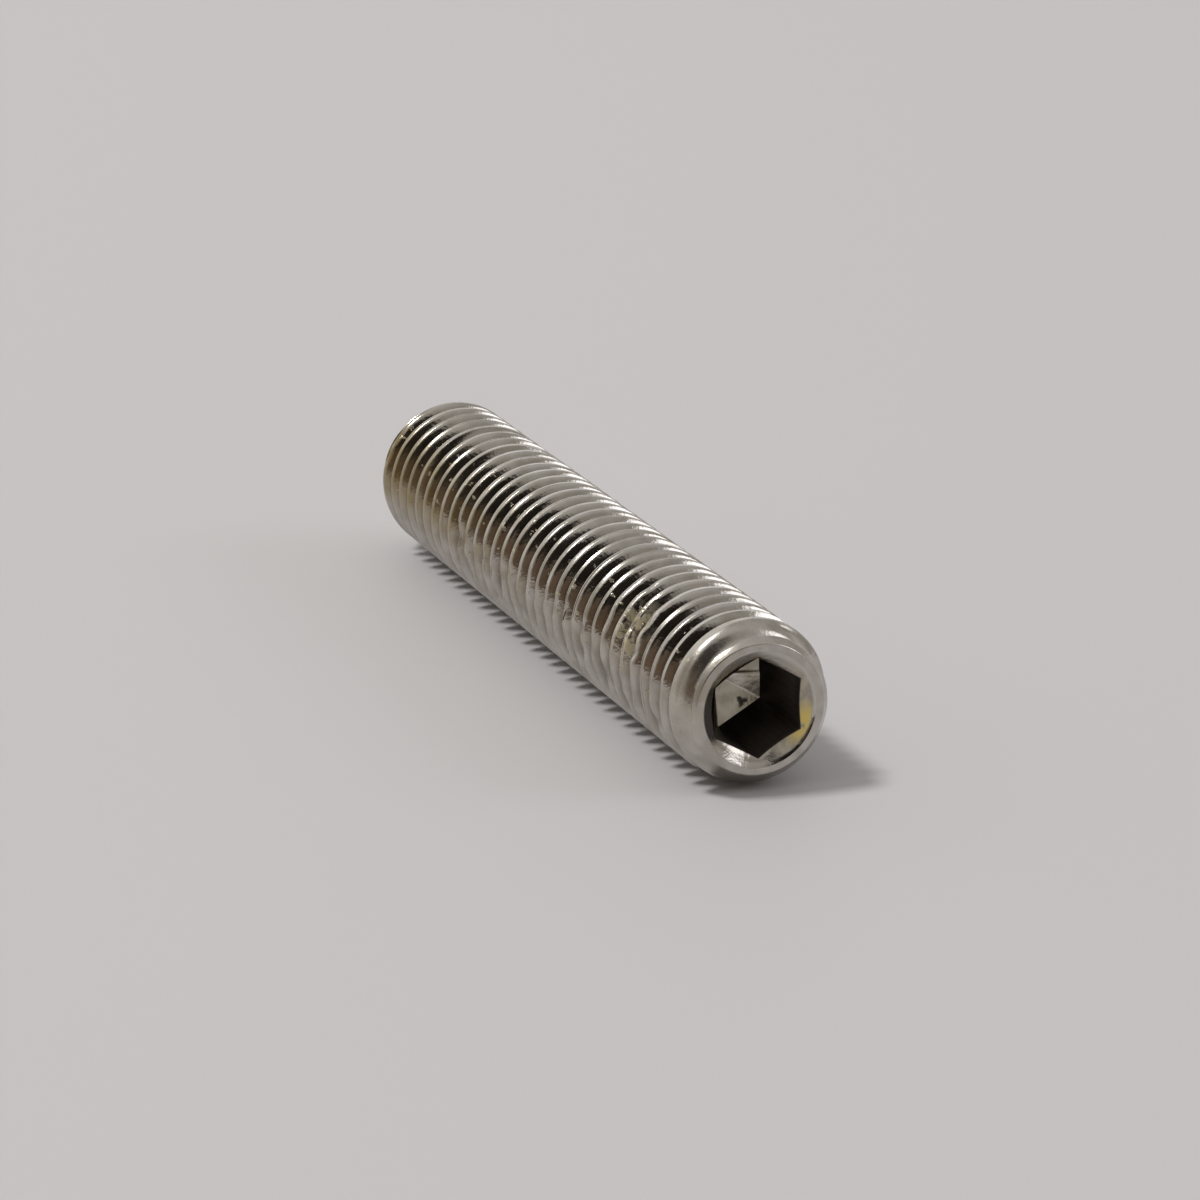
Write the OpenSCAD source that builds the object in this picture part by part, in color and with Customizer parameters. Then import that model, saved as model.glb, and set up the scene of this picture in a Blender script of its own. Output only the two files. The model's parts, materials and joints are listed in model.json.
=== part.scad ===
// Hexagon socket set screw (grub screw) with a flat point, M6 x 1 x 35.
//
// The screw lies on its side. +X points out of the socket end, +Z is up, and
// the origin is under the middle of its length, on the surface it lies on.
// Its fine thread is held here by its envelope: a cylinder of the major
// diameter, with the true chamfer at the socket end and taper at the point.

/* [Body] */
// Overall length, from the flat point to the socket face
body_length = 35; // [16:0.5:60]
// Major diameter of the thread, as made to tolerance 6g
thread_d = 5.9; // [4.8:0.05:7.2]

/* [Socket end] */
// How far the chamfer cuts in towards the axis, down to the thread's root
chamfer_depth = 0.6; // [0.2:0.05:0.6]
// How far the chamfer reaches along the axis
chamfer_length = 0.85; // [0.3:0.05:1.5]
// Width of the flat ring between the chamfer and the countersink
ring_w = 0.25; // [0.1:0.05:0.4]
// Full angle of the countersink at the mouth of the socket
sink_angle = 120; // [90:5:140]

/* [Hexagon socket] */
// Width across the flats, for a 3 mm key
socket_af = 3.1; // [2.5:0.05:3.8]
// Depth of the flats below the socket face
socket_depth = 4; // [2:0.1:8]
// Diameter of the drilled pilot hole that the flats were pressed into
pilot_d = 2.9; // [1.5:0.05:3.5]
// Full angle of the cone that the pilot drill left under the flats
pilot_angle = 140; // [110:5:160]

/* [Flat point] */
// Diameter of the flat that presses on the shaft
point_d = 4; // [2.5:0.1:4.6]
// Angle of the point's taper, measured from the axis
taper_angle = 30; // [20:5:60]

/* [Hidden] */

$fn = 96;
thread_r = thread_d / 2;
face_r = thread_r - chamfer_depth;
sink_r = face_r - ring_w;
sink_depth = sink_r / tan(sink_angle / 2);
socket_corner_d = socket_af / cos(30);
pilot_cone = pilot_d / 2 / tan(pilot_angle / 2);
point_r = point_d / 2;
taper_length = (thread_r - point_r) / tan(taper_angle);
// How far a cutting shape runs on past the face that it opens through
overcut = 0.5;

// Half section of the turned blank, with radius across and the point at zero
blank_section = [
    [0, 0],
    [point_r, 0],
    [thread_r, taper_length],
    [thread_r, body_length - chamfer_length],
    [face_r, body_length],
    [sink_r, body_length],
    [0, body_length - sink_depth]
];

// The turned blank, upright: point and taper below, chamfer and sink above
module blank() {
    rotate_extrude() polygon(blank_section);
}

// The hexagon's flats, with two of its corners in line with the row's Z
module socket_flats() {
    translate([0, 0, body_length - socket_depth])
        cylinder(d = socket_corner_d, h = socket_depth + overcut, $fn = 6);
}

// The pilot hole and the cone that its drill left below the flats
module socket_pilot() {
    translate([0, 0, body_length - socket_depth])
        rotate_extrude()
            polygon([
                [0, -pilot_cone],
                [pilot_d / 2, 0],
                [pilot_d / 2, overcut],
                [0, overcut]
            ]);
}

// Lays an upright shape on its side, so that it touches the floor
module on_its_side() {
    translate([-body_length / 2, 0, thread_r]) rotate([0, 90, 0]) children();
}

module set_screw() {
    color([0.66, 0.64, 0.6])
        on_its_side()
            difference() {
                blank();
                socket_flats();
                socket_pilot();
            }
}

set_screw();
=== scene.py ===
"""Looks of an M6 x 1 x 35 hexagon socket set screw that lies on a pale floor.

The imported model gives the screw's envelope and its mounts. One mesh with a true helical
thread replaces it, in the same place and at the same size. Lengths are in millimetres
until a mesh, light or camera is made, which MM turns into metres.
"""

import json
import math
import random

import bpy
import numpy as np
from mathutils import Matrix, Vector


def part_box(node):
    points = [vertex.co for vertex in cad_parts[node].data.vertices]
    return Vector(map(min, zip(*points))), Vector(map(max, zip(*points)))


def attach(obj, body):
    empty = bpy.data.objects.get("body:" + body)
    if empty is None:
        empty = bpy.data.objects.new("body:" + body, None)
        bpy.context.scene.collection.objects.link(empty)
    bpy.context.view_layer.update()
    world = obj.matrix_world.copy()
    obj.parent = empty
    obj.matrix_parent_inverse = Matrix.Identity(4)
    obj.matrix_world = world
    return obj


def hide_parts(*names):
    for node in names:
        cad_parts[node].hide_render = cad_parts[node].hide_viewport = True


MM = 0.001

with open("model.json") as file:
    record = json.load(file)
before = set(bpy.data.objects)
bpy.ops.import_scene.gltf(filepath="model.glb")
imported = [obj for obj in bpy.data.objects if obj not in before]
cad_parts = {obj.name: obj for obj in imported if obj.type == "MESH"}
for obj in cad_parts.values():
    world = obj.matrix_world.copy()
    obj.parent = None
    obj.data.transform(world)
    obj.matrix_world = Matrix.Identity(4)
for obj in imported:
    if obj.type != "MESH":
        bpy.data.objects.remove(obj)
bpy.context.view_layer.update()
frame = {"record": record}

# --- The screw's sizes -------------------------------------------------------------------

mounts = {m["name"]: m for m in frame["record"]["mounts"]}
node_low, node_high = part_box("set_screw")

LENGTH = (node_high.x - node_low.x) / MM
FACE_X = node_high.x / MM
AXIS_Z = mounts["thread"]["pos_m"][2] / MM
MAJOR_R = mounts["thread"]["dims"]["r_mm"]

# Thread: ISO 60 degree profile, right-hand
PITCH = 1.0
NOMINAL_R = 3.0
SHARP_HEIGHT = PITCH * math.sqrt(3) / 2  # height of the sharp triangle behind the profile
ROOT_R = NOMINAL_R - SHARP_HEIGHT * 17 / 24  # the rounded root of the external thread
APEX_R = NOMINAL_R + SHARP_HEIGHT / 8 + 0.05  # where the flanks would meet: the crests are full
FLANK_SLOPE = math.sqrt(3)  # radial fall for each mm along the axis
CREST_BLEND = 0.07
SEAM_DEPTH = 0.03
ROOT_BLEND = 0.16
FIRST_CREST = 0.495  # where a crest lies behind the face on the +Y side
LEAD_IN = 0.3  # how far the first groove is drawn towards the face
LEAD_FROM = 1.0  # nominal depths between which that dies away
LEAD_TO = 1.13
THREAD_FROM = 0.12  # depth at which the rounded lip of the face ends
THREAD_TO = LENGTH - 0.45  # depth past which the point is a plain cone
RUN_IN = 0.2  # lengths over which the groove reaches its full depth at each end
RUN_OUT = 0.25
BLANK_BLEND = 0.05  # rounding where the groove meets the chamfer and the taper

# Socket end, from the face inwards
CHAMFER_DEPTH = 0.6
CHAMFER_LENGTH = 0.85
RING_R = 2.1  # inner edge of the flat ring
SINK_HALF_ANGLE = math.radians(60)
SOCKET_FLATS = 3.1
SOCKET_DEPTH = 4.0
BOTTOM_SLOPE = 0.3  # fall of the socket's bottom towards its middle
TRIANGLE_CORNERS = ((0.74, -0.79), (0.81, -1.2), (1.11, -0.94))  # y, z corners of a dark triangle on the socket's bottom
EDGE_R = 0.07  # rounding of the turned edges
MOUTH_EDGE = 0.03  # chamfer where the countersink meets the flats

# Flat point
POINT_R = 2.0
POINT_TAPER = math.tan(math.radians(30))
POINT_EDGE_R = 0.12  # rounding between the taper and the flat

FACE_R = MAJOR_R - CHAMFER_DEPTH
FLAT_R = SOCKET_FLATS / 2

# --- Mesh resolution ---------------------------------------------------------------------

COLUMNS = 120  # round the axis: a multiple of 12, so that the hexagon's corners are on it
SHARP_ANGLE = math.radians(42)  # faces that meet at more than this keep a sharp edge
HALF_PROFILE = (0, 0.045, 0.075, 0.1, 0.13, 0.19, 0.26, 0.33, 0.39, 0.44, 0.5)

angles = 2 * math.pi * np.arange(COLUMNS) / COLUMNS  # from +Y, turning towards +Z


def from_flat(angle):
    """Angle to the middle of the nearest flat, with the hexagon's corner pointing up."""
    return (angle + math.pi / 6) % (math.pi / 3) - math.pi / 6


def smaller(a, b, blend):
    """The smaller of two lengths, with a rounded edge where they cross."""
    h = np.clip(0.5 + 0.5 * (b - a) / blend, 0, 1)
    return b + (a - b) * h - blend * h * (1 - h)


def smoothstep(low, high, x):
    t = np.clip((x - low) / (high - low), 0, 1)
    return t * t * (3 - 2 * t)


# --- Dents -------------------------------------------------------------------------------

random.seed(7)
CREST_COUNT = int(LENGTH / PITCH)


class Dent:
    """A knock on one crest: its place, its reach along and across the crest, its depth."""

    def __init__(self, crest, angle, along, across, deep):
        self.crest = crest
        self.angle = angle
        self.along = along
        self.across = across
        self.deep = deep

    def fall(self, nominal, angle):
        """How far the surface is pushed in."""
        turned = (angle - self.angle + math.pi) % (2 * math.pi) - math.pi
        middle = (self.crest + FIRST_CREST - angle / (2 * math.pi)) * PITCH
        s = turned * MAJOR_R / self.along
        o = (nominal - middle) / self.across
        return self.deep * np.exp(-s * s - o * o)


def side_angle(degrees):
    """The angle used here for a height in degrees above the middle of the -Y side."""
    return math.radians(180 - degrees)


def knocked(count, crests, low, high, deep):
    """Random dents on a range of crests, between two heights on the -Y side."""
    made = []
    for _ in range(count):
        made.append(
            Dent(
                random.randint(*crests),
                side_angle(random.uniform(low, high)),
                random.uniform(0.2, 0.45),
                random.uniform(0.1, 0.2),
                random.uniform(0.3, 1.0) * deep,
            )
        )
    return made


dents = knocked(110, (2, 24), -24, 12, 0.09)  # the lower side, knocked most
dents += knocked(50, (1, CREST_COUNT), -180, 180, 0.025)
dents += knocked(14, (5, 8), 18, 66, 0.09)  # round the patch of residue
dents += knocked(20, (CREST_COUNT - 2, CREST_COUNT), 20, 80, 0.07)  # the last crests


# --- Thread ------------------------------------------------------------------------------


def profile_radius(turn):
    """Radius of the endless thread, where turn counts pitches from a crest."""
    away = np.abs(turn - np.round(turn)) * PITCH
    flank = APEX_R - FLANK_SLOPE * away
    floor = -smaller(-flank, -ROOT_R, ROOT_BLEND)
    return smaller(floor, MAJOR_R + CREST_BLEND / 8, CREST_BLEND)


def profile_turns():
    """Where the mesh has a row within one pitch, as shares of the pitch from a crest."""
    half = np.array(HALF_PROFILE)
    return np.concatenate([half, 1 - half[1:-1][::-1]])


def envelope(depth):
    """Radius of the turned blank at a depth behind the face, outside its rounded edges."""
    chamfer = FACE_R + CHAMFER_DEPTH / CHAMFER_LENGTH * depth
    taper = POINT_R + (LENGTH - depth) * POINT_TAPER
    return np.minimum(np.minimum(chamfer, taper), MAJOR_R)


def crest_wander(nominal, angle):
    """Slow unevenness along the helix, as rolling leaves it: shift and height in mm."""
    turns = nominal / PITCH + angle / (2 * math.pi)
    along = turns * 2 * math.pi * MAJOR_R
    shift = 0.008 * np.sin(along * 1.9 + 0.6) + 0.006 * np.sin(along * 4.3 + 2.1)
    height = 0.006 * np.sin(along * 2.7 + 1.3) + 0.005 * np.sin(along * 7.1)
    return shift, height


def crest_seam(turn, nominal, angle):
    """The shallow seam that rolling leaves along the middle of a crest, open in places."""
    along = (nominal / PITCH + angle / (2 * math.pi)) * 2 * math.pi * MAJOR_R
    open_here = 0.5 + 0.5 * np.sin(along * 1.1 + 2 * np.sin(along * 0.37))
    middle = np.exp(-((np.abs(turn - np.round(turn)) * PITCH / 0.03) ** 2))
    return SEAM_DEPTH * open_here * middle


def thread_points(turn, angle):
    """Depth and radius of the threaded surface at a count of pitches along each column."""
    nominal = FIRST_CREST + (turn - angle / (2 * math.pi)) * PITCH
    shift, height = crest_wander(nominal, angle)
    depth = nominal - LEAD_IN * (1 - smoothstep(LEAD_FROM, LEAD_TO, nominal))
    blank = envelope(depth)
    cut = smaller(profile_radius(turn), blank, BLANK_BLEND)
    begun = smoothstep(THREAD_FROM, THREAD_FROM + RUN_IN, depth)
    left = smoothstep(LENGTH - THREAD_TO, LENGTH - THREAD_TO + RUN_OUT, LENGTH - depth)
    inside = begun * left
    on_crest = smoothstep(ROOT_R + 0.2, MAJOR_R - 0.05, cut)
    fall = crest_seam(turn, nominal, angle) - height * on_crest
    for dent in dents:
        fall = fall + dent.fall(nominal, angle)
    radius = blank + (cut - blank) * inside - np.maximum(fall, 0) * inside
    return depth + shift * on_crest * inside, np.minimum(radius, MAJOR_R)


# --- Mesh --------------------------------------------------------------------------------

STEEL, SINK, WALL, BOTTOM = range(4)  # material slots


class Lathe:
    """Collects loops of vertices round the axis and the faces between them."""

    def __init__(self):
        self.points = []
        self.count = 0
        self.faces = []
        self.finishes = []
        self.finish = STEEL

    def add(self, depth, radius, angle):
        """Adds vertices and returns their indices, in the shape of the arrays given."""
        depth, radius, angle = np.broadcast_arrays(depth, radius, angle)
        across = radius * np.cos(angle)
        up = radius * np.sin(angle)
        xyz = np.stack([FACE_X - depth, across, AXIS_Z + up], axis=-1)
        self.points.append(xyz.reshape(-1, 3))
        made = self.count + np.arange(depth.size).reshape(depth.shape)
        self.count += depth.size
        return made

    def ring(self, depth, radius):
        return self.add(depth, radius, angles)

    def quad(self, *corners):
        kept = []
        for c in corners:
            if c not in kept:
                kept.append(c)
        if len(kept) > 2:
            self.faces.append(kept)
            self.finishes.append(self.finish)

    def join(self, outer, inner):
        """Faces between two loops, facing out when outer lies nearer the tip."""
        for j in range(COLUMNS):
            k = (j + 1) % COLUMNS
            self.quad(outer[j], outer[k], inner[k], inner[j])

    def close(self, loop, depth, outwards_first):
        """A fan from a loop to one point on the axis."""
        centre = int(self.add(np.array([depth]), 0.0, 0.0)[0])
        for j in range(COLUMNS):
            k = (j + 1) % COLUMNS
            if outwards_first:
                self.quad(loop[j], loop[k], centre)
            else:
                self.quad(loop[k], loop[j], centre)


def fillet(before, corner, after, radius, steps):
    """Points of an arc that rounds a corner of a section, from before to after."""
    before, corner, after = (np.array(p, float) for p in (before, corner, after))
    way_in = (before - corner) / np.linalg.norm(before - corner)
    way_out = (after - corner) / np.linalg.norm(after - corner)
    half = math.acos(np.clip(way_in @ way_out, -1, 1)) / 2
    reach = radius / math.tan(half)
    middle = (way_in + way_out) / np.linalg.norm(way_in + way_out)
    centre = corner + middle * radius / math.sin(half)
    start = corner + way_in * reach - centre
    end = corner + way_out * reach - centre
    swing = math.pi - 2 * half
    arc = []
    for i in range(steps + 1):
        t = i / steps
        blend = (math.sin((1 - t) * swing) * start + math.sin(t * swing) * end) / math.sin(swing)
        arc.append(tuple(centre + blend))
    return arc


def add_thread(lathe):
    """The helical rows. Returns the plain loops at the socket end and at the point."""
    turns = profile_turns()
    per_turn = len(turns)
    whole = np.arange(-2, CREST_COUNT + 3)
    rows = (whole[:, None] + turns[None, :]).ravel()
    near = lathe.ring(THREAD_FROM, envelope(THREAD_FROM))
    far = lathe.ring(THREAD_TO, envelope(THREAD_TO))
    depth, radius = thread_points(rows[None, :], angles[:, None])
    ids = []
    for j, angle in enumerate(angles):
        inside = (depth[j] > THREAD_FROM + 0.01) & (depth[j] < THREAD_TO - 0.01)
        column = np.where(depth[j] < LENGTH / 2, near[j], far[j])
        column[inside] = lathe.add(depth[j][inside], radius[j][inside], angle)
        ids.append(column)
    for j in range(COLUMNS):
        here = ids[j]
        there = ids[(j + 1) % COLUMNS]
        if j == COLUMNS - 1:
            there = np.roll(there, per_turn)
            here, there = here[per_turn:], there[per_turn:]
        for m in range(len(here) - 1):
            lathe.quad(here[m], here[m + 1], there[m + 1], there[m])
    return near, far


def bottom_depth(radius, angle):
    """The socket's bottom: six shallow slopes, with a low ledge across its upper part."""
    y = radius * np.cos(angle)
    z = radius * np.sin(angle)
    depth = SOCKET_DEPTH + (FLAT_R - radius * np.cos(from_flat(angle))) * BOTTOM_SLOPE
    ledge = smoothstep(0.0, 0.12, z) * smoothstep(-0.2, 0.3, y)
    return depth + 0.06 * ledge


def add_socket_end(lathe, loop):
    """Lip, ring, countersink, hexagon and bottom, inwards from the thread's loop."""
    on_chamfer = (THREAD_FROM, envelope(THREAD_FROM))
    sink_low = (0.3, RING_R - 0.3 * math.tan(SINK_HALF_ANGLE))
    section = fillet(on_chamfer, (0, FACE_R), (0, RING_R), EDGE_R, 4)
    section += fillet((0, FACE_R), (0, RING_R), sink_low, EDGE_R, 4)
    for depth, radius in section:
        inner = lathe.ring(depth, radius)
        lathe.join(loop, inner)
        loop = inner

    mouth_r = FLAT_R / np.cos(from_flat(angles))
    sink_depth, sink_r = section[-1]
    mouth = sink_depth + (sink_r - mouth_r) / math.tan(SINK_HALF_ANGLE)
    lathe.finish = SINK
    for t in (0.35, 0.7, 1.0):
        radius = sink_r + (mouth_r + MOUTH_EDGE - sink_r) * t
        depth = sink_depth + (mouth - MOUTH_EDGE * 0.4 - sink_depth) * t
        inner = lathe.ring(depth, radius)
        lathe.join(loop, inner)
        loop = inner
    lathe.finish = WALL
    for t in (0.0, 0.15, 0.3, 0.5, 0.7, 0.85, 1.0):
        top = mouth + MOUTH_EDGE
        depth = top + (bottom_depth(mouth_r, angles) - mouth - MOUTH_EDGE) * t
        inner = lathe.ring(depth, mouth_r)
        lathe.join(loop, inner)
        loop = inner
    lathe.finish = BOTTOM
    for t in np.arange(0.05, 1, 0.05):
        radius = mouth_r * (1 - t)
        inner = lathe.ring(bottom_depth(radius, angles), radius)
        lathe.join(loop, inner)
        loop = inner
    lathe.close(loop, float(bottom_depth(0.0, 0.0)), True)
    lathe.finish = STEEL


def add_point(lathe, loop):
    """The end of the taper and the flat, from the thread's last loop."""
    on_taper = (THREAD_TO, envelope(THREAD_TO))
    section = fillet(on_taper, (LENGTH, POINT_R), (LENGTH, 0), POINT_EDGE_R, 4)
    for radius in (1.4, 0.9, 0.4):
        section.append((LENGTH, radius))
    for depth, radius in section:
        outer = lathe.ring(depth, radius)
        lathe.join(outer, loop)
        loop = outer
    lathe.close(loop, LENGTH, False)


def make_screw():
    lathe = Lathe()
    near, far = add_thread(lathe)
    add_socket_end(lathe, near)
    add_point(lathe, far)
    mesh = bpy.data.meshes.new("threaded_set_screw")
    points = np.concatenate(lathe.points) * MM
    faces = [[int(i) for i in face] for face in lathe.faces]
    mesh.from_pydata(points.tolist(), [], faces)
    mesh.polygons.foreach_set("material_index", lathe.finishes)
    mesh.polygons.foreach_set("use_smooth", [True] * len(faces))
    mesh.set_sharp_from_angle(angle=SHARP_ANGLE)
    screw = bpy.data.objects.new("threaded_set_screw", mesh)
    bpy.context.scene.collection.objects.link(screw)
    return screw


# --- Materials ---------------------------------------------------------------------------


class Material:
    """A procedural material, with short ways to add the nodes that are used here."""

    def __init__(self, name):
        self.data = bpy.data.materials.new(name)
        self.data.use_nodes = True
        self.nodes = self.data.node_tree.nodes
        self.links = self.data.node_tree.links
        self.shader = self.nodes["Principled BSDF"]
        self.place = self.nodes.new("ShaderNodeTexCoord").outputs["Object"]
        self.split = self.nodes.new("ShaderNodeSeparateXYZ")
        self.links.new(self.place, self.split.inputs[0])

    def set(self, name, value):
        """Gives the shader a number, a colour or another node's output."""
        socket = self.shader.inputs[name]
        if isinstance(value, bpy.types.NodeSocket):
            self.links.new(value, socket)
        elif isinstance(value, tuple):
            socket.default_value = (*value, 1)
        else:
            socket.default_value = value

    def math(self, operation, *values):
        node = self.nodes.new("ShaderNodeMath")
        node.operation = operation
        for socket, value in zip(node.inputs, values):
            if isinstance(value, bpy.types.NodeSocket):
                self.links.new(value, socket)
            else:
                socket.default_value = value
        return node.outputs["Value"]

    def times(self, first, *others):
        for other in others:
            first = self.math("MULTIPLY", first, other)
        return first

    def mm(self, axis):
        """A coordinate in millimetres, from the axis for Z."""
        value = self.math("DIVIDE", self.split.outputs[axis], MM)
        if axis == "Z":
            value = self.math("SUBTRACT", value, AXIS_Z)
        return value

    def radius(self):
        y, z = self.mm("Y"), self.mm("Z")
        squares = self.math("MULTIPLY_ADD", y, y, self.math("MULTIPLY", z, z))
        return self.math("SQRT", squares)

    def step(self, value, low, high):
        """0 at low and 1 at high, with a soft change between; low may be the larger."""
        node = self.nodes.new("ShaderNodeMapRange")
        node.interpolation_type = "SMOOTHSTEP"
        self.links.new(value, node.inputs["Value"])
        node.inputs["From Min"].default_value = min(low, high)
        node.inputs["From Max"].default_value = max(low, high)
        node.inputs["To Min"].default_value = 0 if low < high else 1
        node.inputs["To Max"].default_value = 1 if low < high else 0
        return node.outputs["Result"]

    def noise(self, size, detail=3, stretch=None):
        """Noise with features of about size mm, stretched by a factor on each axis."""
        where = self.place
        if stretch:
            mapping = self.nodes.new("ShaderNodeMapping")
            mapping.inputs["Scale"].default_value = [1 / s for s in stretch]
            self.links.new(where, mapping.inputs["Vector"])
            where = mapping.outputs["Vector"]
        node = self.nodes.new("ShaderNodeTexNoise")
        self.links.new(where, node.inputs["Vector"])
        node.inputs["Scale"].default_value = 1 / (size * MM)
        node.inputs["Detail"].default_value = detail
        return node.outputs["Fac"]

    def blob(self, x, y, z, size):
        """1 at a place in mm, falling softly to 0 at size mm from it."""
        node = self.nodes.new("ShaderNodeVectorMath")
        node.operation = "DISTANCE"
        self.links.new(self.place, node.inputs[0])
        node.inputs[1].default_value = (x * MM, y * MM, (z + AXIS_Z) * MM)
        return self.step(node.outputs["Value"], size * MM, size * MM * 0.2)

    def outline(self, corners, soft):
        """1 inside a ragged convex outline of (y, z) corners in mm, given anticlockwise."""
        ragged = self.times(self.math("SUBTRACT", self.noise(0.2, 4), 0.5), 0.25)
        masks = []
        for (y0, z0), (y1, z1) in zip(corners, corners[1:] + corners[:1]):
            length = math.hypot(y1 - y0, z1 - z0)
            up = self.times(self.math("SUBTRACT", self.mm("Z"), z0), (y1 - y0) / length)
            across = self.times(self.math("SUBTRACT", self.mm("Y"), y0), (z0 - z1) / length)
            within = self.math("ADD", self.math("ADD", up, across), ragged)
            masks.append(self.step(within, -soft, soft))
        return self.times(*masks)

    def mix(self, factor, first, second):
        """Blends two colours or node outputs."""
        node = self.nodes.new("ShaderNodeMix")
        node.data_type = "RGBA"
        self.links.new(factor, node.inputs["Factor"])
        for socket, value in ((node.inputs[6], first), (node.inputs[7], second)):
            if isinstance(value, bpy.types.NodeSocket):
                self.links.new(value, socket)
            else:
                socket.default_value = (*value, 1)
        return node.outputs[2]

    def bump(self, height, distance, strength=1.0):
        node = self.nodes.new("ShaderNodeBump")
        node.inputs["Distance"].default_value = distance * MM
        node.inputs["Strength"].default_value = strength
        self.links.new(height, node.inputs["Height"])
        self.set("Normal", node.outputs["Normal"])


CLEAN = (0.56, 0.53, 0.495)
DULL = (0.44, 0.41, 0.37)
# dark brown for painted shade and painted dark reflections
SHADE_BROWN = (0.10, 0.08, 0.06)
AMBER = (0.36, 0.29, 0.16)
RESIDUE = (0.58, 0.51, 0.32)
GOLD = (1.0, 0.79, 0.26)
OLIVE = (0.26, 0.24, 0.19)
CREAM = (0.64, 0.58, 0.45)
NEAR_BLACK = (0.05, 0.043, 0.038)


WALL_LINES = (0.16, 0.135, 0.12)
BOTTOM_LIGHT = (0.6, 0.56, 0.5)
BOTTOM_DARK = (0.42, 0.38, 0.31)
FLOOR_TONE = (0.52, 0.51, 0.52)
RESIDUE_PLACE = (11.3, -2.45, 1.4)  # x, y and height above the axis
GOLD_PLACE = (17.3, 1.7, -0.75)


def threaded_steel():
    """Rolled stainless steel, mostly on -Y: painted shade with some dirt in the grooves and low
    down, a brown film that is partly stain and partly a painted reflection of warm brown
    surroundings, and one patch of residue.
    """
    m = Material("stainless_steel")
    tone = m.step(m.noise(0.9, 4), 0.35, 0.7)
    colour = m.mix(tone, CLEAN, DULL)

    # a brown film on the -Y side, stronger towards the far end: partly a real stain, partly a
    # painted reflection of warm brown surroundings
    side = m.step(m.mm("Y"), 0.3, -1.2)
    far_end = m.step(m.mm("X"), 6.0, -15.0)
    height = m.math("ABSOLUTE", m.math("SUBTRACT", m.mm("Z"), 0.9))
    belt = m.step(height, 2.2, 0.5)
    patchy = m.math("MAXIMUM", m.step(m.noise(0.7, 5), 0.36, 0.58), m.times(far_end, 0.8))
    stain_and_reflection = m.times(side, belt, patchy, m.math("MULTIPLY_ADD", far_end, 0.75, 0.25))
    colour = m.mix(stain_and_reflection, colour, AMBER)

    radius = m.radius()
    # painted shade, with some dirt: the lower flanks and roots of the grooves are darkened, most
    # on the -Y side
    deep = m.step(m.math("ADD", radius, m.times(m.noise(0.4, 3), 0.12)), 2.86, 2.72)
    past_face = m.step(m.mm("X"), FACE_X - 0.6, FACE_X - 1.2)
    before_point = m.step(m.mm("X"), 0.7 - FACE_X, 1.5 - FACE_X)
    grooved = m.times(past_face, before_point)
    groove_shade_weight = m.math("MULTIPLY_ADD", side, 0.25, 0.1)
    colour = m.mix(m.times(deep, grooved, groove_shade_weight), colour, SHADE_BROWN)
    # painted shade: the lower part of the -Y side is darkened below the crests
    low_side = m.times(side, m.step(m.mm("Z"), 0.6, -0.3), grooved)
    shallow = m.step(m.math("ADD", radius, m.times(m.noise(0.5, 4), 0.2)), 2.97, 2.85)
    colour = m.mix(m.times(shallow, low_side, 0.25), colour, SHADE_BROWN)

    crumbs = m.step(m.noise(0.28, 5), 0.4, 0.62)
    patch = m.times(m.blob(*RESIDUE_PLACE, 1.7), crumbs, 0.85)
    specks = m.times(side, belt, grooved, m.step(m.noise(0.33, 2), 0.66, 0.72))
    crust = m.math("MAXIMUM", patch, m.times(specks, 0.6))
    colour = m.mix(crust, colour, RESIDUE)

    m.set("Base Color", colour)
    m.set("Metallic", m.math("SUBTRACT", 1, m.times(crust, 0.75)))
    grain = m.noise(0.12, 3)
    rough = m.math("MULTIPLY_ADD", m.noise(0.5, 3), 0.16, 0.03)
    rough = m.math("ADD", rough, m.times(stain_and_reflection, 0.1))
    rough = m.math("ADD", rough, m.times(m.step(radius, 2.88, 2.94), 0.16))
    lip = m.math("SUBTRACT", 1, past_face)
    rough = m.math("ADD", rough, m.times(lip, 0.14))
    m.set("Roughness", m.math("ADD", rough, m.times(crust, 0.3)))
    m.bump(m.math("ADD", grain, m.times(crust, 2.5)), 0.006)
    return m.data


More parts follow.
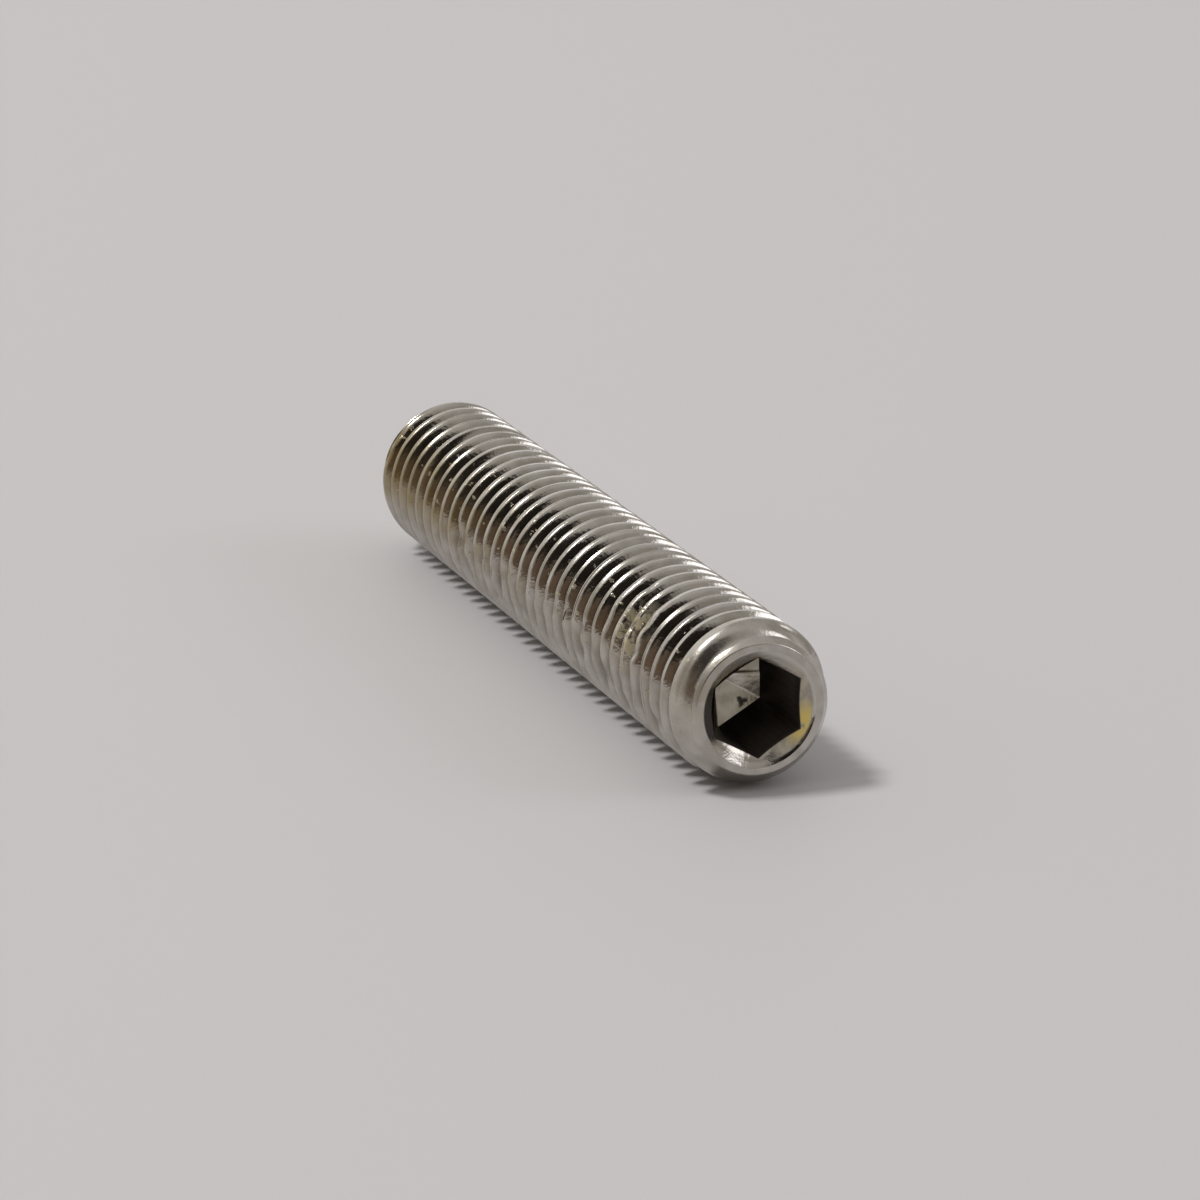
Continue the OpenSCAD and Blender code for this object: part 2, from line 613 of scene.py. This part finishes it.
def stained_shaded_sink():
    """The countersink: cream and gold stain at its lower right; painted shade and reflection:
    olive at its upper left, near-black at its left, a dark crescent at its lower right rim and a
    darker inner part.
    """
    m = Material("stained_shaded_steel")
    y, z = m.mm("Y"), m.mm("Z")
    angle = m.math("ARCTAN2", z, y)
    round_to = m.step(angle, math.radians(-78), math.radians(-60))
    round_from = m.step(angle, math.radians(60), math.radians(20))
    inner = m.step(m.math("ADD", m.radius(), m.times(m.noise(0.5, 3), 0.08)), 2.06, 1.98)
    stain = m.times(round_to, round_from, inner)
    cream = m.mix(m.step(m.noise(0.3, 4), 0.35, 0.65), CREAM, DULL)
    gold = m.times(m.blob(*GOLD_PLACE, 1.05), m.step(m.noise(0.35, 3), 0.2, 0.4))
    cream = m.mix(gold, cream, GOLD)
    radius = m.radius()
    # painted shade: the inner part of the countersink is darker, so that its highlight stays near
    # the rim
    steel = m.mix(m.step(radius, 1.96, 1.86), CLEAN, DULL)
    # painted reflection: olive shade at the upper left of the countersink
    upper_left = m.times(m.step(y, 0.2, -0.3), m.step(z, -1.3, -0.5))
    steel = m.mix(m.times(upper_left, 0.75), steel, OLIVE)
    # painted shade: near-black at the left of the countersink, by the mouth
    left = m.times(m.step(y, -1.4, -1.65), m.step(m.math("ABSOLUTE", z), 1.25, 0.8))
    steel = m.mix(m.times(left, m.step(radius, 2.08, 2.02)), steel, NEAR_BLACK)
    colour = m.mix(stain, steel, cream)
    # painted shade: a dark crescent at the outer edge of the countersink, lower right
    dark_crescent = m.times(m.step(angle, math.radians(-72), math.radians(-60)), m.step(z, -0.35, -0.6))
    m.set("Base Color", m.mix(m.times(dark_crescent, m.step(radius, 2.01, 2.06)), colour, SHADE_BROWN))
    m.set("Metallic", m.math("SUBTRACT", 1, m.times(stain, 0.9)))
    m.set("Roughness", m.math("MULTIPLY_ADD", stain, 0.4, 0.15))
    m.bump(m.noise(0.15, 3), 0.01)
    return m.data


def shaded_wall():
    """The walls of the socket, painted near-black as shade in the recess, with fine lines along
    the punch's path.
    """
    m = Material("shaded_wall_steel")
    lines = m.noise(0.12, 3, stretch=(30, 1, 1))
    # painted shade: the walls are near-black, with lighter fine lines
    m.set("Base Color", m.mix(lines, NEAR_BLACK, WALL_LINES))
    m.set("Metallic", 0.7)
    m.set("Roughness", 0.42)
    m.bump(lines, 0.015)
    return m.data


def socket_bottom():
    """Bare beige-grey steel, with painted shade above the ledge and one dark triangle."""
    m = Material("dull_steel")
    dark_triangle = m.outline(TRIANGLE_CORNERS, 0.05)
    tone = m.mix(m.step(m.noise(0.5, 4), 0.3, 0.7), BOTTOM_LIGHT, BOTTOM_DARK)
    # painted shade: olive and darker above the ledge
    tone = m.mix(m.times(m.step(m.mm("Z"), 0.05, 0.2), 0.6), tone, OLIVE)
    m.set("Base Color", m.mix(dark_triangle, tone, NEAR_BLACK))
    m.set("Metallic", 1.0)
    m.set("Roughness", 0.18)
    m.bump(m.noise(0.25, 4), 0.008)
    return m.data


def pale_floor():
    """Matt and neutral, with little shine."""
    m = Material("pale_floor")
    m.set("Base Color", FLOOR_TONE)
    m.set("Roughness", 0.6)
    m.set("Specular IOR Level", 0.25)
    return m.data


# --- Scene -------------------------------------------------------------------------------

screw = make_screw()
for finish in (threaded_steel(), stained_shaded_sink(), shaded_wall(), socket_bottom()):
    screw.data.materials.append(finish)
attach(screw, "root")
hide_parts("set_screw")

FLOOR_HALF = 2.0
floor_mesh = bpy.data.meshes.new("floor")
floor_mesh.from_pydata(
    [(x * FLOOR_HALF, y * FLOOR_HALF, 0) for x, y in ((-1, -1), (1, -1), (1, 1), (-1, 1))],
    [],
    [(0, 1, 2, 3)],
)
floor = bpy.data.objects.new("floor", floor_mesh)
bpy.context.scene.collection.objects.link(floor)
floor.data.materials.append(pale_floor())

# Camera: 205 mm from a point on the screw, close to its axis, with a long lens
VIEW_AZIMUTH = math.radians(70.24)
VIEW_ELEVATION = math.radians(16.35)
VIEW_ROLL = math.radians(-0.45)
VIEW_DISTANCE = 205.0
AIM = Vector((4.7, -1.2, 3.5))

back = Vector(
    (
        math.sin(VIEW_AZIMUTH) * math.cos(VIEW_ELEVATION),
        -math.cos(VIEW_AZIMUTH) * math.cos(VIEW_ELEVATION),
        math.sin(VIEW_ELEVATION),
    )
)
camera_data = bpy.data.cameras.new("camera")
camera_data.lens = 169.9
camera_data.sensor_width = 36
camera_data.clip_start = 0.01
camera = bpy.data.objects.new("camera", camera_data)
camera.location = (AIM + back * VIEW_DISTANCE) * MM
look = (-back).to_track_quat("-Z", "Y").to_matrix()
camera.rotation_euler = look.to_euler()
camera.rotation_euler.rotate_axis("Z", VIEW_ROLL)
bpy.context.scene.collection.objects.link(camera)
bpy.context.scene.camera = camera


# --- Light -------------------------------------------------------------------------------


def towards(azimuth, elevation):
    """Unit vector to a place on the sky; azimuth 0 is -Y and 90 is +X, in degrees."""
    a, e = math.radians(azimuth), math.radians(elevation)
    return Vector((math.sin(a) * math.cos(e), -math.cos(a) * math.cos(e), math.sin(e)))


class Studio:
    """A world shader: a plain sky with soft-edged patches painted on it."""

    def __init__(self):
        world = bpy.data.worlds.new("studio")
        world.use_nodes = True
        bpy.context.scene.world = world
        self.nodes = world.node_tree.nodes
        self.links = world.node_tree.links
        self.background = self.nodes["Background"]
        self.direction = self.nodes.new("ShaderNodeTexCoord").outputs["Generated"]

    def dot(self, vector):
        node = self.nodes.new("ShaderNodeVectorMath")
        node.operation = "DOT_PRODUCT"
        self.links.new(self.direction, node.inputs[0])
        node.inputs[1].default_value = vector
        return node.outputs["Value"]

    def math(self, operation, *values):
        node = self.nodes.new("ShaderNodeMath")
        node.operation = operation
        for socket, value in zip(node.inputs, values):
            if isinstance(value, (int, float)):
                socket.default_value = value
            else:
                self.links.new(value, socket)
        return node.outputs["Value"]

    def ramp(self, factor, stops):
        node = self.nodes.new("ShaderNodeValToRGB")
        self.links.new(factor, node.inputs["Fac"])
        while len(node.color_ramp.elements) < len(stops):
            node.color_ramp.elements.new(0.5)
        for element, (place, colour) in zip(node.color_ramp.elements, stops):
            element.position = place
            element.color = (*colour, 1)
        return node.outputs["Color"]

    def patch(self, under, azimuth, elevation, width, height, soft, colour):
        """Paints an elliptical patch over a colour. Sizes are half angles in degrees."""
        middle = towards(azimuth, elevation)
        right = middle.cross(Vector((0, 0, 1))).normalized()
        up = right.cross(middle)
        wide = self.math("DIVIDE", self.dot(right), math.sin(math.radians(width)))
        high = self.math("DIVIDE", self.dot(up), math.sin(math.radians(height)))
        squares = self.math("MULTIPLY", wide, wide)
        reach = self.math("SQRT", self.math("MULTIPLY_ADD", high, high, squares))
        fade = self.nodes.new("ShaderNodeMapRange")
        fade.interpolation_type = "SMOOTHSTEP"
        self.links.new(reach, fade.inputs["Value"])
        fade.inputs["From Min"].default_value = 1 - soft
        fade.inputs["From Max"].default_value = 1 + soft
        fade.inputs["To Min"].default_value = 1
        fade.inputs["To Max"].default_value = 0
        ahead = self.math("GREATER_THAN", self.dot(middle), 0)
        mix = self.nodes.new("ShaderNodeMix")
        mix.data_type = "RGBA"
        self.links.new(self.math("MULTIPLY", fade.outputs["Result"], ahead), mix.inputs["Factor"])
        self.links.new(under, mix.inputs[6])
        mix.inputs[7].default_value = (*colour, 1)
        return mix.outputs[2]

    def show(self, colour, backdrop):
        """Lights the scene with colour, and shows the camera a plain backdrop."""
        path = self.nodes.new("ShaderNodeLightPath")
        mix = self.nodes.new("ShaderNodeMix")
        mix.data_type = "RGBA"
        self.links.new(path.outputs["Is Camera Ray"], mix.inputs["Factor"])
        self.links.new(colour, mix.inputs[6])
        mix.inputs[7].default_value = (*backdrop, 1)
        self.links.new(mix.outputs[2], self.background.inputs["Color"])


studio = Studio()
height = studio.math("MULTIPLY_ADD", studio.dot(Vector((0, 0, 1))), 0.5, 0.5)
sky = studio.ramp(
    height,
    [
        (0.5, (0.36, 0.34, 0.31)),
        (0.62, (0.38, 0.36, 0.33)),
        (0.82, (0.40, 0.38, 0.35)),
        (1.0, (0.6, 0.59, 0.57)),
    ],
)
# the person who looks at the screw, dark against the room, with a warm table edge below
sky = studio.patch(sky, 48, 9, 24, 13, 0.25, (0.16, 0.113, 0.08))
sky = studio.patch(sky, 64, 35, 36, 15, 0.12, (0.02, 0.017, 0.014))
# the far wall, and a window to the right
sky = studio.patch(sky, -90, 18, 50, 20, 0.6, (0.95, 0.94, 0.93))
sky = studio.patch(sky, 158, 30, 16, 10, 0.35, (2.4, 2.4, 2.5))
# the pale ceiling in front of the screw
sky = studio.patch(sky, 8, 55, 20, 13, 0.4, (0.7, 0.685, 0.65))
studio.show(sky, (0.55, 0.53, 0.52))


def ceiling_lamp(azimuth, elevation, distance, radius, power):
    """A round lamp that faces the screw. Angles are in degrees, lengths in metres."""
    data = bpy.data.lights.new("ceiling_lamp", "AREA")
    data.shape = "DISK"
    data.size = 2 * radius
    data.energy = power
    data.color = (1.0, 0.985, 0.965)
    lamp = bpy.data.objects.new("ceiling_lamp", data)
    way = towards(azimuth, elevation)
    lamp.location = way * distance
    lamp.rotation_euler = way.to_track_quat("Z", "Y").to_euler()
    bpy.context.scene.collection.objects.link(lamp)


ceiling_lamp(azimuth=-20, elevation=62, distance=1.5, radius=0.15, power=13.0)
bpy.context.scene.view_settings.view_transform = "Standard"
